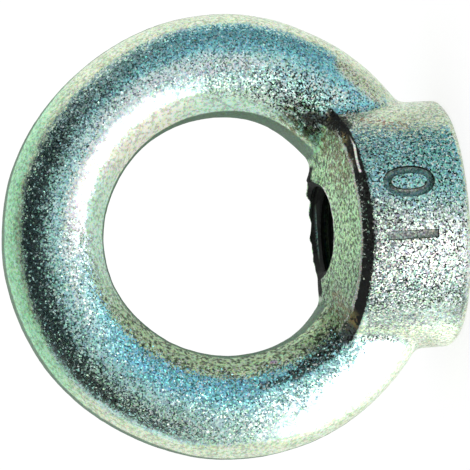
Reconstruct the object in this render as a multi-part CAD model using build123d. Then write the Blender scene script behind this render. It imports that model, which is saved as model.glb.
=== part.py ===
from build123d import *
import math
import os

# Lifting eye nut, size M10: a drop-forged steel ring on a round threaded collar, all one piece.
# Millimetres. The origin is the centre of the seating face and +Z runs up the thread axis to
# the ring. The ring lies in the XZ plane, which is also the parting plane of the forging dies.

# Ring
ring_outer_d = 45.0
eye_d = 24.0
bar_depth = 10.8
inner_land = 3.4
outer_land = 1.6

# Collar
total_height = 45.3
collar_d = 25.0
seat_break = 0.6
rim_break = 0.9

# Roof of the collar inside the eye: two forged slopes that fall away from the parting plane.
# The ridge lies below the eye's centre by this share of the eye's radius.
ridge_share = 0.767
roof_draft = 12.5
ridge_round = 6.0

# Rounding where the ring runs into the collar
junction_round = 1.5

# Thread hole, M10 before tapping, open at both ends
tapping_d = 8.5
countersink_d = 10.8
countersink_angle = 90.0
mouth_break = 0.7

# What follows from the sizes above
collar_r = collar_d / 2
bar_half_depth = bar_depth / 2
ring_centre_z = total_height - ring_outer_d / 2
ridge_z = ring_centre_z - ridge_share * eye_d / 2
roof_reach = 2 * collar_r
roof_fall = roof_reach * math.tan(math.radians(roof_draft))
countersink_depth = (countersink_d - tapping_d) / 2 / math.tan(math.radians(countersink_angle / 2))


def land_share(land):
    """Share of the bar's radial half-width that is left where a land of this width is trimmed."""
    return math.sqrt(1 - (land / bar_depth) ** 2)


def forged_ring():
    """Bar bent into a ring, with the narrow flat lands left where the flash was trimmed."""
    inner_share = land_share(inner_land)
    outer_share = land_share(outer_land)
    bar_width = (ring_outer_d - eye_d) / 2
    bar_half_width = bar_width / (inner_share + outer_share)
    bar_centre_r = ring_outer_d / 2 - bar_half_width * outer_share
    with BuildPart() as ring:
        with BuildSketch(Plane.XY):
            with Locations((bar_centre_r, 0)):
                Ellipse(bar_half_width, bar_half_depth)
            with Locations((eye_d / 2 + bar_width / 2, 0)):
                Rectangle(bar_width, bar_depth, mode=Mode.INTERSECT)
        revolve(axis=Axis.Y)
    return Pos(0, 0, ring_centre_z) * ring.part


def roof():
    """Block whose top is the roof: two slopes and the rounded ridge between them."""
    with BuildPart() as block:
        with BuildSketch(Plane.YZ):
            Polygon(
                (-roof_reach, 0),
                (roof_reach, 0),
                (roof_reach, ridge_z - roof_fall),
                (0, ridge_z),
                (-roof_reach, ridge_z - roof_fall),
                align=None,
            )
        extrude(amount=roof_reach, both=True)
        ridge = block.edges().filter_by(Axis.X).sort_by(Axis.Z)[-1]
        fillet(ridge, radius=ridge_round)
    return block.part


def collar():
    """Round collar that stands on the seat and ends in the roof, with both its edges broken."""
    drum = Cylinder(collar_r, ridge_z, align=(Align.CENTER, Align.CENTER, Align.MIN))
    block = roof()
    boss = drum & block
    boss = boss.chamfer(rim_break, None, new_edges(drum, block, combined=boss))
    seat_edge = boss.edges().filter_by(GeomType.CIRCLE).sort_by(Axis.Z)[0]
    return boss.chamfer(seat_break, None, [seat_edge])


def forging(ring, boss):
    """Ring and collar as one forging, rounded where the two run together."""
    body = ring + boss
    return body.fillet(junction_round, new_edges(ring, boss, combined=body))


def thread_hole():
    """Tapping drill through the collar and the countersink at the seat."""
    with BuildPart() as drill:
        Cylinder(tapping_d / 2, ring_centre_z, align=(Align.CENTER, Align.CENTER, Align.MIN))
        Cone(
            countersink_d / 2,
            tapping_d / 2,
            countersink_depth,
            align=(Align.CENTER, Align.CENTER, Align.MIN),
        )
    return drill.part


def drilled(body):
    """The forging with its seat faced off, the hole drilled and the hole's mouth broken."""
    drill = thread_hole()
    faced = body & Box(
        ring_outer_d,
        ring_outer_d,
        total_height,
        align=(Align.CENTER, Align.CENTER, Align.MIN),
    )
    bored = faced - drill
    mouth = [e for e in new_edges(faced, drill, combined=bored) if e.center().Z > ridge_z / 2]
    return bored.chamfer(mouth_break, None, mouth)


def main():
    eye_nut = drilled(forging(forged_ring(), collar()))
    eye_nut.label = "eye_nut"
    os.makedirs("parts", exist_ok=True)
    export_step(eye_nut, "parts/eye_nut.step")


main()
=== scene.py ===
"""Forged lifting eye nut: its blasted and zinc plated body, cut thread, stamped mark and studio.

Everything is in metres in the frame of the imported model: +Z runs up the thread axis to the ring,
and the ring lies in the XZ plane with its front towards -Y.
"""

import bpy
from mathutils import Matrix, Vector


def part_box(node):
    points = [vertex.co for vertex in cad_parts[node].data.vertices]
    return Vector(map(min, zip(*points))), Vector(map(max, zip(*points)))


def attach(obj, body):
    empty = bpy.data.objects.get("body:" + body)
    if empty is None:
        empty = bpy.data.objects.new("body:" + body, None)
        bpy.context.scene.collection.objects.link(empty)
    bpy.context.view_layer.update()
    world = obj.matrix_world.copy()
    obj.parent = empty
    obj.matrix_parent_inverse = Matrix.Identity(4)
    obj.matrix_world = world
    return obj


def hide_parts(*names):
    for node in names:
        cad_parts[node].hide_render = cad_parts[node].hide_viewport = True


bl_info = {
    "name": "Forged lifting eye nut",
    "version": (1, 0, 0),
    "blender": (4, 5, 0),
    "location": "View3D > Sidebar > Eye nut",
    "description": "Dresses the packed eye nut with its forged skin, thread, mark and zinc finish",
    "category": "Object",
}

import math

import bmesh
import bpy
from mathutils import Matrix, Vector, noise

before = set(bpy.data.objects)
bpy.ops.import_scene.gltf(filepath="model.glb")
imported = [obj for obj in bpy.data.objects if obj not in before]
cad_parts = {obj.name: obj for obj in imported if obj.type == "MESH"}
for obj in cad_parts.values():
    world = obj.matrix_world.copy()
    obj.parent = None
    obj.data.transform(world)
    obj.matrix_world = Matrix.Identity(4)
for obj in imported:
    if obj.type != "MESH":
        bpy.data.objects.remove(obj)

CAD_NODE = "eye_nut"
CAD_LOW, CAD_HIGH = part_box(CAD_NODE)
MM = 0.001
COLLAR_R = (CAD_HIGH.y - CAD_LOW.y) / 2
RING_MIDDLE = Vector((0, 0, CAD_HIGH.z - (CAD_HIGH.x - CAD_LOW.x) / 2))
BODY_NAME = "eye_nut_forging"
SKIN, THREAD, STAMP = "zinc_on_skin", "zinc_on_thread", "zinc_in_stamp"

# Points nearer together than this are one point, and shorter edges than this are slivers
SAME_POINT = 0.001 * MM
SAME_TAP_POINT = 0.0005 * MM
SLIVER = 0.003 * MM

# Degrees that a cutter is turned by, until its cut comes out closed
CUT_TURNS = (0.0, 0.4, -0.4, 0.9, -0.9)
LEAST_CUT = 1.0 * MM**3
LEAST_LEFT = 0.9

# The faced seat is left flat up to this height, and faces that meet at a sharper angle show an edge
FLAT_SEAT = 0.3 * MM
EDGE_ANGLE = math.radians(42)

# The tap ends in the open eye, and its flanks slope by half the thread's 60 degrees
TAP_TOP = 18 * MM
FLANK_ANGLE = math.radians(30)

# Blasted pits: how fast they fade from one size to the next, the ratio of the sizes, and how many there are
PIT_FADE, PIT_RATIO, PIT_SIZES = 0.8, 2.2, 3

# The floor: how far it reaches, its gap below the seat, its own grey, and its glow in the picture
FLOOR_REACH = 3.0
FLOOR_GAP = 0.02 * MM
FLOOR_GREY = 0.85
FLOOR_GLOW = 1.12
FLOOR_GLOW_SHARE = 0.7

# The punch: its plate and bevel, how much thinner than the font its strokes are, how far apart its
# digits stand, and the font size for a digit of height 1
PUNCH_PLATE = 0.3 * MM
PUNCH_BEVEL = 0.24 * MM
PUNCH_THINNER = -0.16 * MM
PUNCH_SPACING = 1.5
FONT_SIZE_PER_DIGIT = 1.42

# The forging isn't quite round: angle from the collar towards +X and width of each place in degrees,
# then how far the outside and the wall of the eye lie further out there, in millimetres
OUT_OF_ROUND = (
    (128, 30, -0.40, 0.0),
    (241, 18, -0.25, 0.0),
    (191, 32, 0.0, 0.38),
    (72, 16, 0.08, 0.20),
    (316, 16, 0.0, 0.18),
)

# The wall of the eye lies this far out all round, and the shifts fade from the eye's wall to the outside
EYE_SHIFT = 0.12
EYE_R = 12.0
BAR_WIDTH = 10.5

# Stains, rust, black scale with painted shadow in the hollows, a painted dark reflection between bright
# flecks, a speck, painted highlights along sharp edges, the patch that is blasted rougher and the painted
# pale reflection: start, end, radius and blur of each, in millimetres
STAIN_LINES = (
    ((10.9, -4.0, 14.9), (5.2, -7.9, 11.8), 1.5, 1.6),
    ((10.9, -4.6, 12.2), (8.0, -8.0, 11.5), 0.4, 0.9),
    ((-7.2, -4.2, 12.7), (-9.2, -6.6, 12.1), 0.9, 1.2),
)
RUST_LINES = (((10.9, -6.1, 10.1), (9.4, -8.2, 5.6), 0.5, 0.6),)
SCALE_AND_SHADOW_LINES = (
    ((11.0, -4.4, 14.1), (10.1, -6.5, 11.8), 0.58, 0.3),
    ((10.6, -5.9, 11.7), (9.7, -7.6, 11.1), 0.6, 0.35),
    ((10.7, -5.6, 12.2), (10.8, -6.5, 10.9), 0.2, 0.3),
    ((9.6, -7.6, 11.0), (7.6, -9.5, 10.4), 0.15, 0.35),
    ((18.32, -3.61, 33.36), (18.8, -3.5, 32.6), 0.07, 0.12),
    ((18.8, -3.5, 32.6), (19.13, -3.67, 31.69), 0.07, 0.12),
)
DARK_REFLECTION_LINES = (
    ((-15.6, -5.2, 21.0), (-14.5, -5.1, 17.6), 0.1, 0.5),
    ((-14.5, -5.1, 17.6), (-12.4, -5.1, 13.8), 0.45, 0.5),
    ((-12.4, -5.1, 13.8), (-10.4, -6.0, 11.9), 0.6, 0.5),
)
SPECK_LINES = (((-13.1, -4.0, 19.2), (-13.1, -4.0, 19.6), 0.12, 0.15),)
EDGE_HIGHLIGHT_LINES = (
    ((9.3, -8.0, 10.95), (7.57, -9.74, 10.7), 0.02, 0.12),
    ((7.57, -9.74, 10.7), (5.89, -10.62, 10.7), 0.06, 0.12),
    ((5.89, -10.62, 10.7), (4.84, -11.14, 10.58), 0.06, 0.12),
    ((-9.54, -6.13, 12.21), (-11.78, -4.55, 14.82), 0.05, 0.1),
    ((4.1, -3.2, 12.85), (2.9, -4.32, 12.6), 0.07, 0.1),
    ((2.9, -4.32, 12.6), (0.8, -5.14, 12.45), 0.07, 0.1),
    ((0.8, -5.14, 12.45), (-2.2, -4.7, 12.55), 0.05, 0.1),
)
ROUGH_PATCH = ((13.0, -5.0, 16.5), (11.5, -6.5, 12.0), 1.4, 3.0)
# A patch of painted pale reflection on the ring near the collar
PALE_REFLECTION_PATCH = ((16.0, -3.8, 9.6), (13.5, -5.0, 6.5), 1.0, 1.1)


# Sizes and colours


class EYENUT_PG_forging(bpy.types.PropertyGroup):
    """The forged skin of the ring and collar."""

    skin_cell: bpy.props.FloatProperty(
        name="Skin cell",
        description="Size of the small faces that the forged skin is made of",
        default=0.000265,
        unit="LENGTH",
    )
    corner_softening: bpy.props.IntProperty(
        name="Corner softening",
        description="How many times the corners are eased, as blasting and plating do",
        default=4,
    )
    wave_height: bpy.props.FloatProperty(
        name="Wave height",
        description="Height of the slow waves that hammering leaves in the skin",
        default=0.00006,
        unit="LENGTH",
    )
    wave_length: bpy.props.FloatProperty(
        name="Wave length",
        description="Length of the slow waves in the skin",
        default=0.005,
        unit="LENGTH",
    )
    pit_height: bpy.props.FloatProperty(
        name="Pit height",
        description="Height of the small unevenness of the blasted skin",
        default=0.000022,
        unit="LENGTH",
    )
    pit_length: bpy.props.FloatProperty(
        name="Pit length",
        description="Length of the small unevenness of the blasted skin",
        default=0.0009,
        unit="LENGTH",
    )


class EYENUT_PG_thread(bpy.types.PropertyGroup):
    """The M10 thread through the collar."""

    major_diameter: bpy.props.FloatProperty(
        name="Major diameter",
        description="Diameter at the bottom of the thread's grooves",
        default=0.0101,
        unit="LENGTH",
    )
    tap_core: bpy.props.FloatProperty(
        name="Tap core",
        description="Diameter of the tap between its teeth, less than the drilled hole",
        default=0.0083,
        unit="LENGTH",
    )
    pitch: bpy.props.FloatProperty(
        name="Pitch",
        description="Height that one turn of the thread climbs",
        default=0.0015,
        unit="LENGTH",
    )
    steps: bpy.props.IntProperty(
        name="Steps",
        description="Faces round one turn of the thread",
        default=72,
    )


class EYENUT_PG_mark(bpy.types.PropertyGroup):
    """The generic size number stamped into the collar."""

    digits: bpy.props.StringProperty(
        name="Digits",
        description="Plain size number stamped into the collar",
        default="10",
    )
    height: bpy.props.FloatProperty(
        name="Height",
        description="Height of the stamped digits",
        default=0.0051,
        unit="LENGTH",
    )
    depth: bpy.props.FloatProperty(
        name="Depth",
        description="Depth of the stamped digits",
        default=0.00027,
        unit="LENGTH",
    )
    across: bpy.props.FloatProperty(
        name="Across",
        description="How far the mark's middle lies to the side of the thread axis",
        default=0.0009,
        unit="LENGTH",
    )
    above_seat: bpy.props.FloatProperty(
        name="Above seat",
        description="Height of the mark's middle above the seat",
        default=0.0056,
        unit="LENGTH",
    )


def colour_property(name, description, default):
    return bpy.props.FloatVectorProperty(
        name=name,
        description=description,
        subtype="COLOR",
        size=3,
        default=default,
    )


class EYENUT_PG_finish(bpy.types.PropertyGroup):
    """Zinc plating with its passivation film and stains, and painted highlights, reflections and shade."""

    # Painted highlight: this near white is laid low down towards -X, where the bright light falls
    zinc: colour_property("Zinc", "Bare zinc plating with hardly any film", (0.86, 0.96, 0.93))
    teal_film: colour_property("Teal film", "Blue-green tint of most of the plating", (0.50, 0.93, 0.89))
    collar_film: colour_property("Collar film", "Duller blue-green of the collar", (0.34, 0.68, 0.65))
    # Painted shade: darker blue on the side that faces +X
    painted_blue_shade: colour_property("Blue film", "Blue tint on the side that faces +X", (0.30, 0.84, 1.0))
    # Painted highlight: warm white on the collar's front
    collar_highlight_film: colour_property("Rose film", "Warm white of the collar", (0.68, 0.77, 0.72))
    # Painted reflection: pale green on the edges
    pale_reflection_film: colour_property("Pale film", "Pale green tint round the edges", (0.73, 0.88, 0.64))
    # Painted reflection: fuller green on the top edge
    green_reflection_film: colour_property("Green film", "Fuller green tint of the top edge", (0.46, 0.92, 0.56))
    # Painted reflection: pale, part matt green inside the eye
    chalk_reflection_film: colour_property("Chalk film", "Pale chalky green inside the eye", (0.68, 0.95, 0.77))
    # Painted shade: olive on the eye's wall at -X
    olive_shade_film: colour_property("Olive film", "Dull olive tint inside the eye", (0.36, 0.49, 0.31))
    roof_film: colour_property("Roof film", "Green tint of the forged roof", (0.42, 0.71, 0.38))
    # Partly painted shade: this dark green also darkens the silhouettes of the eye and the outside
    trimmed: colour_property("Trimmed", "Dark green of the trimmed flash", (0.17, 0.26, 0.19))
    stain: colour_property("Stain", "Yellow-brown stain in the corners of the roof", (0.20, 0.17, 0.07))
    rust: colour_property("Rust", "Brown rust specks", (0.42, 0.24, 0.14))
    # Also painted shadow: this black fills the hollow between ring and collar, the brow and the thread's
    # mouth
    scale: colour_property("Scale", "Black forging scale in the hollows", (0.012, 0.014, 0.013))
    # Painted highlight: paler on the side that faces -X
    pale_highlight_film: colour_property("Worn film", "Paler tint of the side that faces -X", (0.66, 1.0, 0.84))
    # Painted shade: grey where the collar turns towards -X
    collar_shade_film: colour_property("Dim film", "Grey tint of the collar's far side", (0.29, 0.37, 0.32))
    # Painted shadow under the collar's brow
    brow_shadow_film: colour_property("Brow film", "Dimmer tint of the collar under its brow", (0.46, 0.54, 0.50))
    # Painted shade: darker low on the collar's side towards +X
    collar_side_shade: colour_property("Side film", "Fuller tint low on the collar's side", (0.20, 0.53, 0.53))
    # Painted highlight: paler on the ring's front at +X
    crest_highlight_film: colour_property("Crest film", "Pale tint of the ring's crest at +X", (0.74, 1.0, 1.0))
    # Painted shade: deep blue on the ring's front at -X
    deep_blue_shade: colour_property("Deep film", "Deep blue inside the ring at -X", (0.22, 0.62, 0.74))
    # Painted highlight: near white inside the eye at +X
    white_highlight_film: colour_property("White film", "Nearly white chalk in the eye at +X", (0.98, 1.0, 0.84))
    roof_shade: colour_property("Roof shade", "Darker green of the roof at -X", (0.20, 0.34, 0.2))
    # Painted highlight along the roof's edge
    roof_edge_highlight: colour_property("Crisp edge", "Bright line where the roof ends", (0.95, 1.0, 0.88))
    # Painted dark reflection between bright flecks
    dark_reflection: colour_property("Soot", "Soot between bright flecks", (0.06, 0.08, 0.07))
    speck: colour_property("Speck", "Purple speck on the inside of the ring", (0.42, 0.25, 0.45))
    # Painted highlights along sharp edges
    torn: colour_property("Torn", "Bright torn edges", (0.95, 1.0, 0.93))
    # Painted glints: a few facets laid nearly white
    glint: colour_property("Glint", "Facets that have lost their film", (0.93, 1.0, 0.97))


class EYENUT_PG_stage(bpy.types.PropertyGroup):
    """Camera and studio."""

    azimuth: bpy.props.FloatProperty(
        name="Azimuth",
        description="Turn of the camera round the thread axis, from straight in front",
        default=math.radians(-4.0),
        unit="ROTATION",
    )
    elevation: bpy.props.FloatProperty(
        name="Elevation",
        description="Height of the camera above the horizon",
        default=math.radians(9.81),
        unit="ROTATION",
    )
    roll: bpy.props.FloatProperty(
        name="Roll",
        description="Turn of the picture past the quarter turn that lays the nut on its side",
        default=math.radians(3.494),
        unit="ROTATION",
    )
    distance: bpy.props.FloatProperty(
        name="Distance",
        description="Distance from the camera to the middle of the ring",
        default=0.450,
        unit="LENGTH",
    )
    lens: bpy.props.FloatProperty(
        name="Lens",
        description="Focal length of the camera in millimetres",
        default=342.0,
    )
    aim_right: bpy.props.FloatProperty(
        name="Aim right",
        description="How far the camera stands to the right of the ring's middle",
        default=0.001122,
        unit="LENGTH",
    )
    aim_up: bpy.props.FloatProperty(
        name="Aim up",
        description="How far the camera stands above the ring's middle in the picture",
        default=0.000161,
        unit="LENGTH",
    )


# Mesh helpers


def new_object(name, mesh):
    made = bpy.data.objects.new(name, mesh)
    bpy.context.scene.collection.objects.link(made)
    return made


def merged_copy(name, node):
    """A closed copy of a CAD node, whose own mesh is loose triangles."""
    bm = bmesh.new()
    bm.from_mesh(node.data)
    bmesh.ops.remove_doubles(bm, verts=bm.verts, dist=SAME_POINT)
    mesh = bpy.data.meshes.new(name)
    bm.to_mesh(mesh)
    bm.free()
    return new_object(name, mesh)


def apply_modifiers(piece):
    """Makes what the modifiers show into the piece's own mesh."""
    shown = piece.evaluated_get(bpy.context.evaluated_depsgraph_get())
    mesh = bpy.data.meshes.new_from_object(shown)
    piece.modifiers.clear()
    piece.data = mesh


def bare_material(name):
    """The material of that name, made plain if it isn't there yet; the finish fills it in later."""
    return bpy.data.materials.get(name) or bpy.data.materials.new(name)


def clean_slivers(mesh):
    """Merges points that lie almost on each other. Returns the volume, or 0 if the mesh isn't closed."""
    bm = bmesh.new()
    bm.from_mesh(mesh)
    bmesh.ops.remove_doubles(bm, verts=bm.verts, dist=SLIVER)
    bmesh.ops.dissolve_degenerate(bm, dist=SLIVER, edges=bm.edges)
    bmesh.ops.triangulate(bm, faces=[face for face in bm.faces if len(face.verts) > 4])
    bmesh.ops.dissolve_degenerate(bm, dist=SLIVER, edges=bm.edges)
    volume = bm.calc_volume() if all(edge.is_manifold for edge in bm.edges) else 0.0
    bm.to_mesh(mesh)
    bm.free()
    return volume


def cut_away(piece, make_cutter):
    """Cuts a shape out of the piece, again and turned a little if nothing came off or a gap is left."""
    volume = clean_slivers(piece.data)
    whole = piece.data
    for turn in CUT_TURNS:
        piece.data = whole.copy()
        cutter = make_cutter()
        cutter.data.transform(Matrix.Rotation(math.radians(turn), 4, "Z"))
        cut = piece.modifiers.new("cut", "BOOLEAN")
        cut.operation = "DIFFERENCE"
        cut.solver = "EXACT"
        cut.material_mode = "TRANSFER"
        cut.object = cutter
        apply_modifiers(piece)
        bpy.data.objects.remove(cutter)
        left = clean_slivers(piece.data)
        if LEAST_LEFT * volume < left < volume - LEAST_CUT:
            return
    raise RuntimeError(f"No cut in {piece.name} came out closed: {left} of {volume} m3 are left")


# Forged body


def even_skin(body, guide, sizes):
    """Covers the body with small even faces that still lie on the CAD form, and eases its corners."""
    grid = body.modifiers.new("even faces", "REMESH")
    grid.mode = "VOXEL"
    grid.voxel_size = sizes.skin_cell
    grid.use_smooth_shade = True
    fit = body.modifiers.new("back onto the form", "SHRINKWRAP")
    fit.target = guide
    fit.wrap_method = "NEAREST_SURFACEPOINT"
    ease = body.modifiers.new("eased corners", "SMOOTH")
    ease.factor = 0.5
    ease.iterations = sizes.corner_softening
    apply_modifiers(body)


def ramp(value, low, high):
    """0 at low, 1 at high, and smooth between."""
    share = min(max((value - low) / (high - low), 0.0), 1.0)
    return share * share * (3 - 2 * share)


def relief(point, sizes):
    """Height of the forged skin at a point: slow hammer waves and small blasted pits."""
    wave = noise.noise(point / sizes.wave_length)
    pits = noise.fractal(point / sizes.pit_length, PIT_FADE, PIT_RATIO, PIT_SIZES)
    return sizes.wave_height * wave + sizes.pit_height * pits


def out_of_round(spot, from_middle):
    """How far the ring lies further out at a spot, in millimetres; it fades out towards the collar."""
    turn = math.degrees(math.atan2(spot.x, -(spot.z - RING_MIDDLE.z / MM))) % 360
    outside, inside = 0.0, EYE_SHIFT
    for angle, width, out_shift, in_shift in OUT_OF_ROUND:
        near = math.exp(-((((turn - angle + 180) % 360 - 180) / width) ** 2))
        outside += near * out_shift
        inside += near * in_shift
    share = min(max((from_middle - EYE_R) / BAR_WIDTH, 0.0), 1.0)
    return (outside * share + inside * (1 - share)) * ramp(spot.z, 13, 17)


def torn_lip(spot):
    """How far the lip at the thread's mouth is torn up at a spot, in millimetres."""
    from_axis = math.hypot(spot.x, spot.y)
    on_ridge = ramp(spot.z, 13.0, 13.3) * ramp(spot.x, -1.5, 1.0) * ramp(spot.x, 7.5, 5.0)
    behind = ramp(spot.y, 0.6, 2.4) * ramp(spot.x, -5.0, -2.5) * ramp(spot.x, 6.5, 4.8)
    lip = ramp(from_axis, 4.7, 5.0) * ramp(from_axis, 6.6, 5.2) * max(on_ridge, 1.25 * behind)
    lip *= ramp(spot.z, 11.6, 12.0) * ramp(spot.z, 14.6, 14.2)
    return lip * (0.35 + 0.25 * noise.noise(spot / 0.9))


def off_form(point):
    """How far the forging moves at a point for being not quite round, and for its torn lip."""
    spot = point / MM
    arm = Vector((point.x, 0, point.z - RING_MIDDLE.z))
    shift = out_of_round(spot, arm.length / MM)
    return arm * (shift * MM / max(arm.length, MM)) + Vector((0, 0, torn_lip(spot) * MM))


def roughen(body, sizes):
    """Moves the skin by the relief and by what is out of round, and leaves the faced seat flat."""
    bm = bmesh.new()
    bm.from_mesh(body.data)
    bm.normal_update()
    for vert in bm.verts:
        if vert.co.z > CAD_LOW.z + FLAT_SEAT:
            vert.co += vert.normal * relief(vert.co, sizes) + off_form(vert.co)
    bm.to_mesh(body.data)
    bm.free()


class EYENUT_OT_forging(bpy.types.Operator):
    """Makes the forged body of ring and collar over the CAD solid"""

    bl_idname = "eyenut.forging"
    bl_label = "Forge body"

    def execute(self, context):
        sizes = context.scene.eyenut_forging
        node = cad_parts[CAD_NODE]
        body = merged_copy(BODY_NAME, node)
        guide = merged_copy("cad_form", node)
        even_skin(body, guide, sizes)
        bpy.data.objects.remove(guide)
        roughen(body, sizes)
        body.data.materials.clear()
        body.data.materials.append(bare_material(SKIN))
        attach(body, "root")
        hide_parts(CAD_NODE)
        return {"FINISHED"}


# Thread


def tap(sizes):
    """A tap as long as the collar is high and more: one tooth spun up the thread axis."""
    major = sizes.major_diameter / 2
    core = sizes.tap_core / 2
    flank = (major - core) * math.tan(FLANK_ANGLE)
    tip = sizes.pitch / 8
    low = CAD_LOW.z - 2 * sizes.pitch
    turns = math.ceil((TAP_TOP - low) / sizes.pitch)
    gap = sizes.pitch - tip - 2 * flank
    root = 2 * flank + tip
    tooth = ((core, 0), (major, flank), (major, flank + tip), (core, root), (core, root + gap))
    bm = bmesh.new()
    verts = [bm.verts.new((r, 0, low + z)) for r, z in tooth]
    edges = [bm.edges.new(pair) for pair in zip(verts, verts[1:])]
    steps = sizes.steps * turns
    bmesh.ops.spin(
        bm,
        geom=verts + edges,
        cent=(0, 0, 0),
        axis=(0, 0, 1),
        dvec=(0, 0, sizes.pitch / sizes.steps),
        angle=2 * math.pi * turns,
        steps=steps,
        use_merge=False,
    )
    bmesh.ops.remove_doubles(bm, verts=bm.verts, dist=SAME_TAP_POINT)
    rims = [e for e in bm.edges if e.is_boundary]
    ends = bmesh.ops.holes_fill(bm, edges=rims, sides=0)["faces"]
    bmesh.ops.poke(bm, faces=ends)
    bmesh.ops.recalc_face_normals(bm, faces=bm.faces)
    mesh = bpy.data.meshes.new("tap")
    mesh.materials.append(bare_material(THREAD))
    bm.to_mesh(mesh)
    bm.free()
    return new_object("tap", mesh)


class EYENUT_OT_thread(bpy.types.Operator):
    """Cuts the helical thread through the collar"""

    bl_idname = "eyenut.thread"
    bl_label = "Cut thread"

    def execute(self, context):
        sizes = context.scene.eyenut_thread
        cut_away(bpy.data.objects[BODY_NAME], lambda: tap(sizes))
        return {"FINISHED"}


# Stamped mark


def punch(sizes):
    """The digits as a thin solid that is wrapped round the front of the collar."""
    text = bpy.data.curves.new("punch", "FONT")
    text.body = sizes.digits
    text.align_x = "CENTER"
    text.align_y = "CENTER"
    text.size = sizes.height * FONT_SIZE_PER_DIGIT
    text.space_character = PUNCH_SPACING
    text.offset = PUNCH_THINNER
    text.extrude = PUNCH_PLATE
    text.bevel_depth = PUNCH_BEVEL
    text.bevel_resolution = 1
    text.resolution_u = 6
    lettering = new_object("lettering", text)
    shown = lettering.evaluated_get(bpy.context.evaluated_depsgraph_get())
    mesh = bpy.data.meshes.new_from_object(shown)
    bpy.data.objects.remove(lettering)
    bm = bmesh.new()
    bm.from_mesh(mesh)
    bmesh.ops.remove_doubles(bm, verts=bm.verts, dist=SAME_POINT)
    for vert in bm.verts:
        across, up, out = vert.co
        turn = (across + sizes.across) / COLLAR_R
        radius = COLLAR_R + PUNCH_PLATE + PUNCH_BEVEL - sizes.depth + out
        vert.co = Vector((radius * math.sin(turn), -radius * math.cos(turn), up + sizes.above_seat))
    bm.to_mesh(mesh)
    bm.free()
    mesh.materials.clear()
    mesh.materials.append(bare_material(STAMP))
    return new_object("punch", mesh)


class EYENUT_OT_mark(bpy.types.Operator):
    """Stamps the generic size number into the front of the collar"""

    bl_idname = "eyenut.mark"
    bl_label = "Stamp mark"

    def execute(self, context):
        body = bpy.data.objects[BODY_NAME]
        cut_away(body, lambda: punch(context.scene.eyenut_mark))
        body.data.polygons.foreach_set("use_smooth", [True] * len(body.data.polygons))
        body.data.set_sharp_from_angle(angle=EDGE_ANGLE)
        return {"FINISHED"}


# Node helpers


def node(tree, kind, inputs=None, **settings):
    """Adds a node, sets its fields, and sets or links its inputs by name or number."""
    made = tree.nodes.new(kind)
    for field, value in settings.items():
        setattr(made, field, value)
    for key, value in (inputs or {}).items():
        socket = made.inputs[key]
        if isinstance(value, bpy.types.NodeSocket):
            tree.links.new(value, socket)
        else:
            socket.default_value = value
    return made


def math_node(tree, operation, *values):
    made = node(tree, "ShaderNodeMath", dict(enumerate(values)), operation=operation)
    return made.outputs[0]


def vector_node(tree, operation, *values):
    made = node(tree, "ShaderNodeVectorMath", dict(enumerate(values)), operation=operation)
    return made.outputs[0]


def step(tree, value, low, high):
    """0 where the value is at low, 1 where it is at high, and smooth between."""
    made = node(
        tree,
        "ShaderNodeMapRange",
        {"Value": value, "From Min": low, "From Max": high},
        interpolation_type="SMOOTHSTEP",
    )
    return made.outputs["Result"]


def where(tree, *spans):
    """1 where every span is full. A span is a value, where its step begins and where it is full."""
    return product(tree, *(step(tree, *span) for span in spans))


def product(tree, first, *others):
    for other in others:
        first = math_node(tree, "MULTIPLY", first, other)
    return first


def highest(tree, first, *others):
    for other in others:
        first = math_node(tree, "MAXIMUM", first, other)
    return first


def length_of(tree, vector):
    made = node(tree, "ShaderNodeVectorMath", {0: vector}, operation="LENGTH")
    return made.outputs["Value"]


def scaled_by(tree, vector, share):
    made = node(tree, "ShaderNodeVectorMath", {0: vector, "Scale": share}, operation="SCALE")
    return made.outputs[0]


def dot_product(tree, a, b):
    made = node(tree, "ShaderNodeVectorMath", {0: a, 1: b}, operation="DOT_PRODUCT")
    return made.outputs["Value"]


def blend_colour(tree, share, a, b, kind="MIX"):
    made = node(tree, "ShaderNodeMix", {0: share, 6: a, 7: b}, data_type="RGBA", blend_type=kind)
    return made.outputs[2]


def new_group(name, inputs, outputs):
    """An empty shader group with the named sockets; returns it with its input and output nodes."""
    group = bpy.data.node_groups.new(name, "ShaderNodeTree")
    for socket, kind, default in inputs:
        made = group.interface.new_socket(socket, in_out="INPUT", socket_type=kind)
        if default is not None:
            made.default_value = default
    for socket, kind in outputs:
        group.interface.new_socket(socket, in_out="OUTPUT", socket_type=kind)
    return group, group.nodes.new("NodeGroupInput"), group.nodes.new("NodeGroupOutput")


def rgba(colour):
    return (*colour, 1.0)


# Zinc finish, with painted light and shade


def near_line(tree, position, start, end, radius, blur, ragged=None):
    """1 within a radius of the line from start to end, in millimetres, and 0 further off than the blur."""
    a, b = Vector(start) * MM, Vector(end) * MM
    run = b - a
    arm = vector_node(tree, "SUBTRACT", position, tuple(a))
    along = dot_product(tree, arm, tuple(run / run.length_squared))
    share = node(tree, "ShaderNodeClamp", {"Value": along}).outputs[0]
    foot = scaled_by(tree, tuple(run), share)
    away = length_of(tree, vector_node(tree, "SUBTRACT", arm, foot))
    if ragged is not None:
        away = math_node(tree, "ADD", away, ragged)
    return step(tree, away, (radius + blur) * MM, radius * MM)


def place_values(tree, position, nz):
    """The place in millimetres, its distance from the thread axis, and masks of the collar and roof."""
    spot = scaled_by(tree, position, 1 / MM)
    x, y, z = node(tree, "ShaderNodeSeparateXYZ", {0: spot}).outputs
    from_axis = length_of(tree, vector_node(tree, "MULTIPLY", spot, (1.0, 1.0, 0.0)))
    collar = where(tree, (z, 10.8, 10.2), (from_axis, 13.1, 12.7))
    roof = where(tree, (nz, 0.78, 0.9), (z, 16.5, 14.5))
    return spot, x, y, z, from_axis, collar, roof


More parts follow.
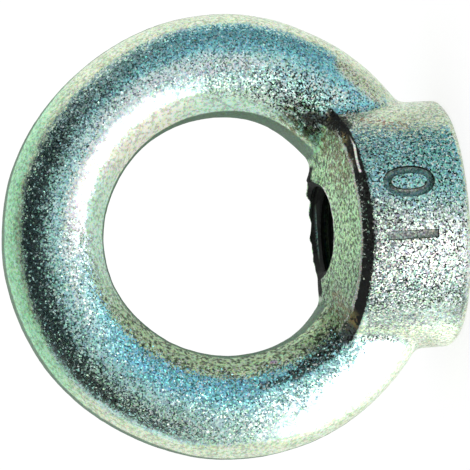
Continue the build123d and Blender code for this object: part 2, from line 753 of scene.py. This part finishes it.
def blast_cover():
    """Group: how hard each place was blasted. The edges and the side low down towards -X stay calmer, with
    less lean and fewer dark specks, so the painted reflections and highlight there stay clean.
    """
    group, given, out = new_group(
        "blast_cover",
        [("Position", "NodeSocketVector", None), ("Normal", "NodeSocketVector", None)],
        [("Cover", "NodeSocketFloat")],
    )
    position = given.outputs["Position"]
    nx, ny, nz = node(group, "ShaderNodeSeparateXYZ", {0: given.outputs["Normal"]}).outputs
    *_, collar, roof = place_values(group, position, nz)
    edge = where(group, (math_node(group, "ABSOLUTE", ny), 0.76, 0.66))
    highlight_calm = where(group, (nz, 0.0, -0.14), (nx, 0.02, -0.1))
    highlight_calm = product(group, highlight_calm, math_node(group, "SUBTRACT", 1.0, collar))
    rough = near_line(group, position, *ROUGH_PATCH)
    cover = math_node(group, "MULTIPLY_ADD", edge, -0.7, 1.0)
    cover = product(group, cover, math_node(group, "MULTIPLY_ADD", highlight_calm, -0.82, 1.0))
    for mask, more in ((roof, 0.5), (collar, 0.35), (rough, 0.7)):
        cover = math_node(group, "MULTIPLY_ADD", mask, more, cover)
    group.links.new(cover, out.inputs["Cover"])
    return group


def blasted_grain():
    """Group: small facets that each lean their own way, most a little and a few a lot."""
    group, given, out = new_group(
        "blasted_grain",
        [
            ("Position", "NodeSocketVector", None),
            ("Normal", "NodeSocketVector", None),
            ("Cover", "NodeSocketFloat", 1.0),
            ("Grain size", "NodeSocketFloat", 0.00014),
            ("Lean", "NodeSocketFloat", 0.33),
            ("Sparkle", "NodeSocketFloat", 1.2),
            ("Speckle", "NodeSocketFloat", 0.8),
            ("Hue", "NodeSocketFloat", 0.45),
        ],
        [
            ("Normal", "NodeSocketVector"),
            ("Film normal", "NodeSocketVector"),
            ("Shade", "NodeSocketColor"),
            ("Glint", "NodeSocketFloat"),
        ],
    )
    cover = given.outputs["Cover"]
    scale = math_node(group, "DIVIDE", 1.0, given.outputs["Grain size"])
    cells = node(group, "ShaderNodeTexVoronoi", {"Vector": given.outputs["Position"], "Scale": scale})
    lumps = node(
        group,
        "ShaderNodeTexVoronoi",
        {"Vector": given.outputs["Position"], "Scale": math_node(group, "MULTIPLY", scale, 0.55)},
    )
    chance = node(group, "ShaderNodeTexWhiteNoise", {"Vector": cells.outputs["Position"]})
    # Lean: a rare facet leans much more than the rest
    rare = math_node(group, "POWER", chance.outputs["Value"], 12.0)
    lean = math_node(group, "MULTIPLY_ADD", rare, given.outputs["Sparkle"], given.outputs["Lean"])
    middle = (0.5, 0.5, 0.5)
    tilt = vector_node(group, "SUBTRACT", cells.outputs["Color"], middle)
    leant = scaled_by(group, tilt, product(group, lean, cover))
    lump_tilt = vector_node(group, "SUBTRACT", lumps.outputs["Color"], middle)
    leant_lump = scaled_by(group, lump_tilt, product(group, given.outputs["Lean"], cover, 0.4))
    both = vector_node(group, "ADD", leant, leant_lump)
    for socket, lean_kept in (("Normal", both), ("Film normal", scaled_by(group, both, 0.5))):
        leaning = vector_node(group, "ADD", given.outputs["Normal"], lean_kept)
        group.links.new(vector_node(group, "NORMALIZE", leaning), out.inputs[socket])
    # Shade: some facets are duller, and each has its own hue. Glint: a few are painted nearly white, as
    # painted glints
    _, duller, glint_chance = node(group, "ShaderNodeSeparateXYZ", {0: chance.outputs["Color"]}).outputs
    group.links.new(product(group, step(group, glint_chance, 0.80, 0.95), cover, 0.5), out.inputs["Glint"])
    dull = product(group, step(group, duller, 0.62, 0.0), given.outputs["Speckle"], cover)
    light = highest(group, math_node(group, "SUBTRACT", 1.06, dull), 0.04)
    hue = scaled_by(group, tilt, given.outputs["Hue"])
    tinted = vector_node(group, "ADD", hue, (1.0, 1.0, 1.0))
    group.links.new(scaled_by(group, tinted, light), out.inputs["Shade"])
    return group


def film_and_painted_light(colours):
    """Group: the passivation film with painted highlights, reflections and shade. Its tint comes from the
    way a surface faces and its place on the nut.
    """
    group, given, out = new_group(
        "film_and_painted_light",
        [("Position", "NodeSocketVector", None), ("Normal", "NodeSocketVector", None)],
        [("Color", "NodeSocketColor"), ("Chalk", "NodeSocketFloat"), ("Scale", "NodeSocketFloat")],
    )
    position = given.outputs["Position"]
    nx, ny, nz = node(group, "ShaderNodeSeparateXYZ", {0: given.outputs["Normal"]}).outputs
    spot, x, y, z, from_axis, collar, roof = place_values(group, position, nz)
    outward = math_node(group, "ABSOLUTE", ny)
    deep = math_node(group, "ABSOLUTE", y)
    arm = vector_node(group, "SUBTRACT", spot, tuple(RING_MIDDLE / MM))
    arm = vector_node(group, "MULTIPLY", arm, (1.0, 0.0, 1.0))
    reach = length_of(group, arm)
    faces_out = dot_product(group, given.outputs["Normal"], vector_node(group, "NORMALIZE", arm))
    colour = rgba(colours.teal_film)

    def lay(tint, *masks):
        """Lays a tint over the film so far where all the masks are 1."""
        nonlocal colour
        colour = blend_colour(group, product(group, *masks), colour, rgba(tint))

    # Teal, with a near white painted highlight low down towards -X and a painted blue shade towards +X
    lay(colours.zinc, where(group, (nz, 0.03, -0.16), (nx, 0.12, -0.02)))
    lay(colours.collar_film, collar)
    # Painted shade: darker blue where the ring faces +X, less on the collar
    blue = where(group, (nx, 0.06, 0.3), (nz, 0.35, 0.05))
    lay(colours.painted_blue_shade, blue, math_node(group, "MULTIPLY_ADD", collar, -0.75, 1.0))
    # Painted highlight: a paler tint where the ring faces -X, towards the bright light
    lay(colours.pale_highlight_film, where(group, (nx, -0.2, -0.42)), math_node(group, "SUBTRACT", 0.8, collar))
    # Painted highlight: warm white across the collar where it faces the front
    lay(colours.collar_highlight_film, collar, where(group, (nx, 0.16, -0.05), (nx, -0.75, -0.35)))
    # Painted shade: grey on the collar where it turns towards -X
    lay(colours.collar_shade_film, collar, where(group, (nx, -0.35, -0.7)))
    # Painted shadow: dimmer on the collar just under its brow
    lay(colours.brow_shadow_film, collar, where(group, (z, 5, 8.5), (nx, -0.6, -0.3), (nx, 0.3, 0.0)))
    # Painted shade: a fuller, darker tint low on the collar where it faces +X
    lay(colours.collar_side_shade, collar, where(group, (nx, 0.25, 0.45), (z, 7, 4)))
    # Painted highlight: paler on the front of the ring's crest at +X
    lay(colours.crest_highlight_film, where(group, (nx, -0.3, -0.1), (nx, 0.2, 0.05), (x, 7, 14), (z, 17, 21)))
    # Painted shade: deep blue on the front of the ring low towards -X
    lay(colours.deep_blue_shade, where(group, (nx, -0.2, 0.05), (x, -7, -12), (z, 19, 23), (nz, 0.12, 0.02)))
    # Painted reflection: pale green round the edges, fuller green at the top
    late = where(group, (nx, -0.2, -0.45), (nz, 0.1, 0.3))
    late = highest(group, late, product(group, collar, where(group, (nx, 0.0, -0.3))))
    reflecting_rim = step(group, math_node(group, "MULTIPLY_ADD", late, 0.15, outward), 0.74, 0.62)
    lay(colours.pale_reflection_film, reflecting_rim)
    lay(colours.green_reflection_film, where(group, (outward, 0.74, 0.55), (nz, 0.55, 0.8)))
    # The inside of the eye is chalky and part matt: pale green at the far end as painted reflection, white
    # towards +X as painted highlight, olive towards -X as painted shade
    inside = where(group, (faces_out, -0.48, -0.58), (z, 14.5, 19))
    lay(colours.chalk_reflection_film, inside)
    lay(colours.white_highlight_film, inside, where(group, (x, 4, 9), (z, 23, 30)))
    # Painted shade: olive where the eye's wall faces the opposite bar, towards -X
    olive = where(group, (faces_out, -0.45, -0.58), (x, -1, -9))
    lay(colours.olive_shade_film, olive)
    # Painted reflection: a pale patch on the ring near the collar
    lay(colours.pale_reflection_film, near_line(group, position, *PALE_REFLECTION_PATCH))
    # Green roof, with painted shade towards -X, mottled as the olive painted shade is, with a painted
    # highlight line along its edge
    lay(colours.roof_film, roof)
    lay(colours.roof_shade, roof, where(group, (x, -2, -7)), 0.85)
    blotch = node(group, "ShaderNodeTexNoise", {"Vector": spot, "Scale": 1 / 0.38, "Detail": 4.0})
    mottle = step(group, blotch.outputs["Fac"], 0.38, 0.58)
    mottle = math_node(group, "MULTIPLY_ADD", mottle, 1.25, -0.75)
    mottle = math_node(group, "MULTIPLY_ADD", mottle, highest(group, roof, olive, 0.35), 1.0)
    colour = scaled_by(group, colour, mottle)
    # Painted highlight: a bright line where the roof ends
    edge = where(group, (from_axis, 11.35, 11.5), (nz, 0.66, 0.76), (z, 10.5, 10.6), (z, 13.0, 12.4))
    lay(colours.roof_edge_highlight, edge)
    # Dark lands where the flash was trimmed, darkened partly as painted shade along the eye's inner edge
    # and the outside
    off_land = math_node(group, "ABSOLUTE", math_node(group, "SUBTRACT", reach, 12.3))
    inner_land = where(group, (off_land, 0.6, 0.4), (deep, 2.5, 2.2), (z, 13, 13.6))
    outer_land = where(group, (reach, 21.9, 22.2), (deep, 1.4, 0.9), (z, 7, 11))
    lands = highest(group, inner_land, outer_land)
    lay(colours.trimmed, lands)
    # Black scale on the ridge of the roof, and black as painted shadow on the brow and in the thread's
    # mouth
    ridge = where(group, (deep, 1.2, 0.8), (reach, 11.6, 11.3))
    brow = where(group, (nz, 0.2, 0.36), (nz, 0.8, 0.7), (from_axis, 11.1, 11.3), (z, 13, 12), (z, 8.5, 9))
    mouth = where(group, (from_axis, 5.15, 5.0), (z, 11.8, 12.6))
    crest = where(group, (from_axis, 4.75, 4.6), (z, 3, 5))
    mouth = product(group, highest(group, mouth, crest), where(group, (z, 16, 15)))
    scale = highest(group, ridge, brow, mouth)
    lay(colours.scale, scale)
    chalk = highest(group, product(group, inside, 0.85), product(group, reflecting_rim, 0.2))
    group.links.new(colour, out.inputs["Color"])
    group.links.new(chalk, out.inputs["Chalk"])
    group.links.new(highest(group, lands, scale), out.inputs["Scale"])
    return group


def stains(colours):
    """Group: stains, rust, black scale with painted shadow, a painted dark reflection and painted edge
    highlights, laid over the film.
    """
    group, given, out = new_group(
        "stains",
        [("Position", "NodeSocketVector", None), ("Film", "NodeSocketColor", None)],
        [("Color", "NodeSocketColor"), ("Scale", "NodeSocketFloat")],
    )
    position = given.outputs["Position"]
    blotch = node(group, "ShaderNodeTexNoise", {"Vector": position, "Scale": 1 / (0.6 * MM), "Detail": 4.0})
    fine = node(group, "ShaderNodeTexNoise", {"Vector": position, "Scale": 1 / (0.3 * MM), "Detail": 2.0})
    patchy = step(group, blotch.outputs["Fac"], 0.45, 0.54)
    freckled = step(group, fine.outputs["Fac"], 0.54, 0.60)
    ragged = math_node(group, "MULTIPLY_ADD", fine.outputs["Fac"], 0.9 * MM, -0.45 * MM)

    def lay(colour, tint, lines, share, broken=None, wobble=None):
        """Lays a tint along the lines; returns the new colour and the mask."""
        whole = None
        for line in lines:
            mask = near_line(group, position, *line, ragged=wobble)
            whole = mask if whole is None else highest(group, whole, mask)
        if broken is not None:
            whole = product(group, whole, broken)
        whole = product(group, whole, share)
        return blend_colour(group, whole, colour, rgba(tint)), whole

    # The whole film is a little uneven
    cloud = node(group, "ShaderNodeTexNoise", {"Vector": position, "Scale": 1 / (2.5 * MM), "Detail": 3.0})
    uneven = math_node(group, "MULTIPLY_ADD", cloud.outputs["Fac"], 0.5, 0.74)
    even = scaled_by(group, given.outputs["Film"], uneven)
    # Yellow-brown in the corners of the roof, rust specks where the ring meets the collar
    colour, _ = lay(even, colours.stain, STAIN_LINES, 0.8, patchy)
    colour, _ = lay(colour, colours.rust, RUST_LINES, 0.9, freckled)
    # Black scale in the nicks, black as painted shadow in the hollows, and painted highlights along the
    # edges
    colour, scale = lay(colour, colours.scale, SCALE_AND_SHADOW_LINES, 0.92, None, ragged)
    # Painted dark reflection, broken into flecks, on the ring's front towards -X near the collar
    broken_dark = step(group, fine.outputs["Fac"], 0.40, 0.47)
    colour, _ = lay(colour, colours.dark_reflection, DARK_REFLECTION_LINES, 0.95, broken_dark)
    colour, _ = lay(colour, colours.speck, SPECK_LINES, 0.8)
    # Painted highlights along the brow, the eye's edge near the collar and the thread's mouth
    colour, _ = lay(colour, colours.torn, EDGE_HIGHLIGHT_LINES, 0.8)
    group.links.new(colour, out.inputs["Color"])
    group.links.new(scale, out.inputs["Scale"])
    return group


def zinc_material(name, groups, glint, recess_shade, roughness, **grain_values):
    """Zinc plating over a skin with the given grain; one in a recess is darkened all over as painted shade.
    """
    material = bpy.data.materials[name]
    material.use_nodes = True
    tree = material.node_tree
    shader = tree.nodes["Principled BSDF"]
    place = node(tree, "ShaderNodeTexCoord").outputs["Object"]
    surface = node(tree, "ShaderNodeNewGeometry").outputs["Normal"]

    def use(key, **links):
        made = node(tree, "ShaderNodeGroup", node_tree=groups[key])
        for socket, value in links.items():
            tree.links.new(value, made.inputs[socket.replace("_", " ")])
        return made

    cover = use("cover", Position=place, Normal=surface)
    grain = use("grain", Position=place, Normal=surface, Cover=cover.outputs["Cover"])
    for socket, value in grain_values.items():
        grain.inputs[socket.replace("_", " ")].default_value = value
    film = use("film", Position=place, Normal=grain.outputs["Film normal"])
    marks = use("stains", Position=place, Film=film.outputs["Color"])
    colour = blend_colour(tree, 1.0, marks.outputs["Color"], grain.outputs["Shade"], "MULTIPLY")
    scaled = math_node(tree, "MAXIMUM", film.outputs["Scale"], marks.outputs["Scale"])
    bare = math_node(tree, "SUBTRACT", 1.0, scaled)
    # Painted glints on a few facets, kept off the black
    colour = blend_colour(tree, product(tree, grain.outputs["Glint"], bare), colour, rgba(glint))
    colour = blend_colour(tree, 1.0, colour, rgba([1 - recess_shade] * 3), "MULTIPLY")
    tree.links.new(colour, shader.inputs["Base Color"])
    tree.links.new(grain.outputs["Normal"], shader.inputs["Normal"])
    # Chalky film is part matt, and black scale and painted shadow are all matt
    metal = math_node(tree, "MULTIPLY_ADD", film.outputs["Chalk"], -1.0, 1.0)
    tree.links.new(product(tree, metal, bare), shader.inputs["Metallic"])
    shader.inputs["Specular IOR Level"].default_value = 0.25
    rough = math_node(tree, "MULTIPLY_ADD", film.outputs["Chalk"], 0.3, roughness)
    tree.links.new(math_node(tree, "MULTIPLY_ADD", scaled, 0.45, rough), shader.inputs["Roughness"])
    return material


class EYENUT_OT_finish(bpy.types.Operator):
    """Gives the body its zinc plating, film tints, stains and painted light and shade"""

    bl_idname = "eyenut.finish"
    bl_label = "Plate with zinc"

    def execute(self, context):
        colours = context.scene.eyenut_finish
        groups = {
            "cover": blast_cover(),
            "grain": blasted_grain(),
            "film": film_and_painted_light(colours),
            "stains": stains(colours),
        }
        oiled = {"Grain_size": 0.4 * MM, "Lean": 0.1, "Sparkle": 0.2, "Speckle": 0.2}
        struck = {"Lean": 0.2, "Sparkle": 0.5, "Speckle": 0.4}
        # The thread and the stamp are darkened all over: painted shade in the bore and in the stamped
        # digits, and the thread is oiled
        zinc_material(SKIN, groups, colours.glint, recess_shade=0.0, roughness=0.24)
        zinc_material(THREAD, groups, colours.glint, recess_shade=0.86, roughness=0.30, **oiled)
        zinc_material(STAMP, groups, colours.glint, recess_shade=0.68, roughness=0.26, **struck)
        return {"FINISHED"}


# Stage


def studio_surround():
    """Group: how bright the studio is: pale all round, dark overhead and dimmer to the right."""
    group, given, out = new_group(
        "studio_surround",
        [("Direction", "NodeSocketVector", None)],
        [("Brightness", "NodeSocketFloat")],
    )
    unit = vector_node(group, "NORMALIZE", given.outputs["Direction"])
    x, y, z = node(group, "ShaderNodeSeparateXYZ", {0: unit}).outputs
    # In front: middling, dimmer higher up and to the right, bright low down on the left
    level = math_node(group, "MULTIPLY_ADD", step(group, z, 0.0, 0.25), -0.12, 0.72)
    level = math_node(group, "MULTIPLY_ADD", step(group, x, 0.05, 0.5), -0.08, level)
    lit = where(group, (x, 0.12, -0.18), (z, -0.16, -0.48))
    level = math_node(group, "MULTIPLY_ADD", lit, 1.7, level)
    pane = where(group, (x, 0.1, 0.3), (x, 0.62, 0.48), (z, 0.06, -0.12))
    level = math_node(group, "MULTIPLY_ADD", pane, 0.22, level)
    # A dark stand at the far right
    stand = math_node(group, "MULTIPLY_ADD", step(group, x, 0.74, 0.88), -0.5, 1.0)
    level = product(group, level, stand)
    # Below: pale
    below = step(group, z, -0.75, -0.92)
    level = node(group, "ShaderNodeMix", {0: below, 2: level, 3: 0.85}, data_type="FLOAT").outputs[0]
    # Behind: pale, dimmer higher up and to the right
    wall = math_node(group, "MULTIPLY_ADD", step(group, z, 0.3, 0.8), -0.35, 0.95)
    wall = math_node(group, "MULTIPLY_ADD", x, 0.06, wall)
    behind = step(group, y, -0.05, 0.25)
    level = node(group, "ShaderNodeMix", {0: behind, 2: level, 3: wall}, data_type="FLOAT").outputs[0]
    # Overhead: a dark card that hangs lower on the right and reaches a little past the zenith
    swing = math_node(group, "ARCTAN2", z, math_node(group, "MULTIPLY", y, -1.0))
    low = math_node(group, "MULTIPLY_ADD", step(group, x, 0.15, 0.8), -0.25, 0.25)
    low = math_node(group, "MULTIPLY_ADD", step(group, x, -0.65, -0.95), 0.15, low)
    low = math_node(group, "MULTIPLY_ADD", step(group, x, -0.1, -0.45), 0.08, low)
    high = math_node(group, "ADD", low, 0.4)
    card = where(group, (swing, low, high), (swing, 1.80, 1.63), (x, 0.80, 0.68), (x, -1.04, -0.93))
    kept = math_node(group, "MULTIPLY_ADD", card, -0.98, 1.0)
    group.links.new(product(group, level, kept), out.inputs["Brightness"])
    return group


def studio_world(surround):
    world = bpy.data.worlds.new("studio")
    world.use_nodes = True
    tree = world.node_tree
    background = tree.nodes["Background"]
    direction = node(tree, "ShaderNodeTexCoord").outputs["Generated"]
    glow = node(tree, "ShaderNodeGroup", node_tree=surround)
    tree.links.new(direction, glow.inputs["Direction"])
    paths = node(tree, "ShaderNodeLightPath")
    mirrored = blend_colour(tree, paths.outputs["Is Glossy Ray"], (1, 1, 1, 1), glow.outputs["Brightness"])
    seen = blend_colour(tree, paths.outputs["Is Camera Ray"], mirrored, (1, 1, 1, 1))
    tree.links.new(seen, background.inputs["Color"])
    background.inputs["Strength"].default_value = 1.0
    bpy.context.scene.world = world


def floor_material(surround):
    """White floor: camera and mirror rays see it glow, and some of its own light and shadow shows."""
    material = bpy.data.materials.new("white_floor")
    material.use_nodes = True
    tree = material.node_tree
    tree.nodes.clear()
    place = node(tree, "ShaderNodeTexCoord").outputs["Object"]
    middle = (CAD_LOW + CAD_HIGH) / 2
    direction = vector_node(tree, "SUBTRACT", place, tuple(middle))
    glow = node(tree, "ShaderNodeGroup", node_tree=surround)
    tree.links.new(direction, glow.inputs["Direction"])
    paths = node(tree, "ShaderNodeLightPath")
    to_camera = paths.outputs["Is Camera Ray"]
    light = blend_colour(tree, to_camera, glow.outputs["Brightness"], rgba([FLOOR_GLOW] * 3))
    shine = node(tree, "ShaderNodeEmission", {"Color": light, "Strength": 1.0})
    matt = node(tree, "ShaderNodeBsdfDiffuse", {"Color": rgba([FLOOR_GREY] * 3)})
    seen = product(tree, to_camera, FLOOR_GLOW_SHARE)
    share = highest(tree, seen, paths.outputs["Is Glossy Ray"])
    mixed = node(tree, "ShaderNodeMixShader", {0: share, 1: matt.outputs[0], 2: shine.outputs[0]})
    output = node(tree, "ShaderNodeOutputMaterial")
    tree.links.new(mixed.outputs[0], output.inputs["Surface"])
    return material


def floor(surround):
    bm = bmesh.new()
    bmesh.ops.create_grid(bm, x_segments=1, y_segments=1, size=FLOOR_REACH)
    bmesh.ops.translate(bm, verts=bm.verts, vec=(0, 0, CAD_LOW.z - FLOOR_GAP))
    mesh = bpy.data.meshes.new("floor")
    bm.to_mesh(mesh)
    bm.free()
    ground = new_object("floor", mesh)
    ground.data.materials.append(floor_material(surround))


def camera(stage):
    """A camera that is rolled a little more than a quarter turn, so the nut lies on its side."""
    a, e, roll = stage.azimuth, stage.elevation, stage.roll
    back = Vector((math.sin(a) * math.cos(e), -math.cos(a) * math.cos(e), math.sin(e)))
    side = Vector((math.cos(a), math.sin(a), 0))
    rise = side.cross(-back)
    right = -rise * math.cos(roll) - side * math.sin(roll)
    up = -rise * math.sin(roll) + side * math.cos(roll)
    lens = bpy.data.cameras.new("camera")
    lens.lens = stage.lens
    lens.clip_start = 0.01
    shot = new_object("camera", lens)
    place = RING_MIDDLE + back * stage.distance + right * stage.aim_right + up * stage.aim_up
    turn = Matrix((right, up, back)).transposed().to_4x4()
    shot.matrix_world = Matrix.Translation(place) @ turn
    bpy.context.scene.camera = shot


class EYENUT_OT_stage(bpy.types.Operator):
    """Sets up the white floor, the studio light and the camera"""

    bl_idname = "eyenut.stage"
    bl_label = "Set the stage"

    def execute(self, context):
        surround = studio_surround()
        studio_world(surround)
        floor(surround)
        camera(context.scene.eyenut_stage)
        context.scene.view_settings.view_transform = "Standard"
        return {"FINISHED"}


# Panel and registration

STEPS = (
    (EYENUT_OT_forging, "forging", EYENUT_PG_forging),
    (EYENUT_OT_thread, "thread", EYENUT_PG_thread),
    (EYENUT_OT_mark, "mark", EYENUT_PG_mark),
    (EYENUT_OT_finish, "finish", EYENUT_PG_finish),
    (EYENUT_OT_stage, "stage", EYENUT_PG_stage),
)


class EYENUT_PT_panel(bpy.types.Panel):
    """Lists the steps with their sizes and colours"""

    bl_idname = "EYENUT_PT_panel"
    bl_label = "Eye nut"
    bl_space_type = "VIEW_3D"
    bl_region_type = "UI"
    bl_category = "Eye nut"

    def draw(self, context):
        for operator, key, group in STEPS:
            box = self.layout.box()
            box.operator(operator.bl_idname)
            values = getattr(context.scene, f"eyenut_{key}")
            for name in group.__annotations__:
                box.prop(values, name)


def register():
    for operator, key, group in STEPS:
        bpy.utils.register_class(group)
        bpy.utils.register_class(operator)
        setattr(bpy.types.Scene, f"eyenut_{key}", bpy.props.PointerProperty(type=group))
    bpy.utils.register_class(EYENUT_PT_panel)


def unregister():
    bpy.utils.unregister_class(EYENUT_PT_panel)
    for operator, key, group in reversed(STEPS):
        delattr(bpy.types.Scene, f"eyenut_{key}")
        bpy.utils.unregister_class(operator)
        bpy.utils.unregister_class(group)


def main():
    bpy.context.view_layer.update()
    register()
    bpy.ops.eyenut.forging()
    bpy.ops.eyenut.thread()
    bpy.ops.eyenut.mark()
    bpy.ops.eyenut.finish()
    bpy.ops.eyenut.stage()


if __name__ == "__main__":
    main()
